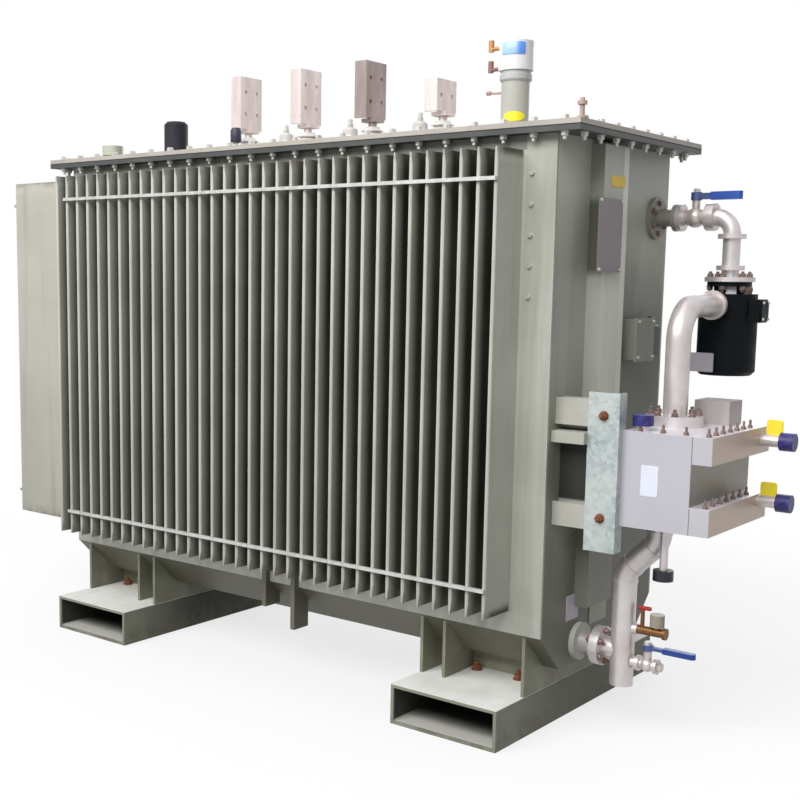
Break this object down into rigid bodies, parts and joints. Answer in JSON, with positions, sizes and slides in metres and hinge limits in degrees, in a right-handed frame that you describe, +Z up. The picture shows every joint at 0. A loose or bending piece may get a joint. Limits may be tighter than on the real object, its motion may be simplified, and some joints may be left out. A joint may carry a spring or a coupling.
{
  "type": "power transformer",
  "caption": "Oil-filled power transformer on open skids, with a corrugated fin tank, bolted cover, upright terminal flags, and a pumped water cooler on its end wall.",
  "frame": {"origin": "on the floor under the middle of the whole object's box", "axes": "+X along the tank towards the cooler, +Y to the back, +Z up"},
  "size_m": [3.44, 1.194, 2.392],
  "materials": {
    "tank_paint": "satin pebble-grey paint",
    "fin_paint": "satin pebble-grey paint",
    "galvanised_steel": "dull galvanised",
    "stainless_steel": "brushed stainless",
    "plate_metal": "bare etched plate",
    "gasket_rubber": "matte",
    "pump_black": "satin black",
    "lever_blue": "sleeved lever",
    "cap_plastic": "moulded cap",
    "brass": "dull brass",
    "porcelain": "glazed",
    "tinned_copper": "tinned",
    "dark_epoxy": "satin",
    "relay_white": "satin white"
  },
  "bodies": {
    "transformer": {"skid_left": "tank_paint", "skid_right": "tank_paint", "foot_left": "tank_paint", "foot_right": "tank_paint", "tank_floor": "tank_paint", "lower_walls": "tank_paint", "upper_walls": "tank_paint", "corner_posts": "tank_paint", "right_end_wall": "tank_paint", "front_fin_wall": "fin_paint", "back_fin_wall": "fin_paint", "left_fin_wall": "fin_paint", "fin_tie_bars": "galvanised_steel", "tank_rim": "tank_paint", "cover_gasket": "gasket_rubber", "cover": "tank_paint", "end_stiffener": "tank_paint", "rating_plate": "plate_metal", "sensor_box": "tank_paint", "bracket_arms": "tank_paint", "cooler_post": "galvanised_steel", "cooler_body": "stainless_steel", "cooler_nozzles": "stainless_steel", "port_caps": "cap_plastic", "leak_monitor": "stainless_steel", "outlet_nozzle": "tank_paint", "outlet_valve": "stainless_steel", "suction_pipe": "stainless_steel", "pump_volute": "pump_black", "pump_motor": "pump_black", "pump_terminal_box": "pump_black", "discharge_pipe": "stainless_steel", "return_pipe": "stainless_steel", "return_nozzle": "stainless_steel", "drain_valve": "stainless_steel", "sample_valve": "brass", "lv_insulators": "porcelain", "lv_flags": "tinned_copper", "hv_bushings": "porcelain", "tap_changer": "dark_epoxy", "relay_column": "relay_white", "relay_head": "relay_white", "filler_cap": "tank_paint"},
    "outlet_lever": {"outlet_lever": "lever_blue"},
    "drain_lever": {"drain_lever": "lever_blue"}
  },
  "joints": [
    {"name": "outlet_lever_turn", "type": "hinge", "parent": "transformer", "child": "outlet_lever", "pos_m": [1.2465, 0.315, 1.83], "axis": [0, 0, 1], "range_deg": [0, 90]},
    {"name": "drain_lever_turn", "type": "hinge", "parent": "transformer", "child": "drain_lever", "pos_m": [1.354, -0.16, 0.316], "axis": [0, 0, 1], "range_deg": [0, 90]}
  ]
}
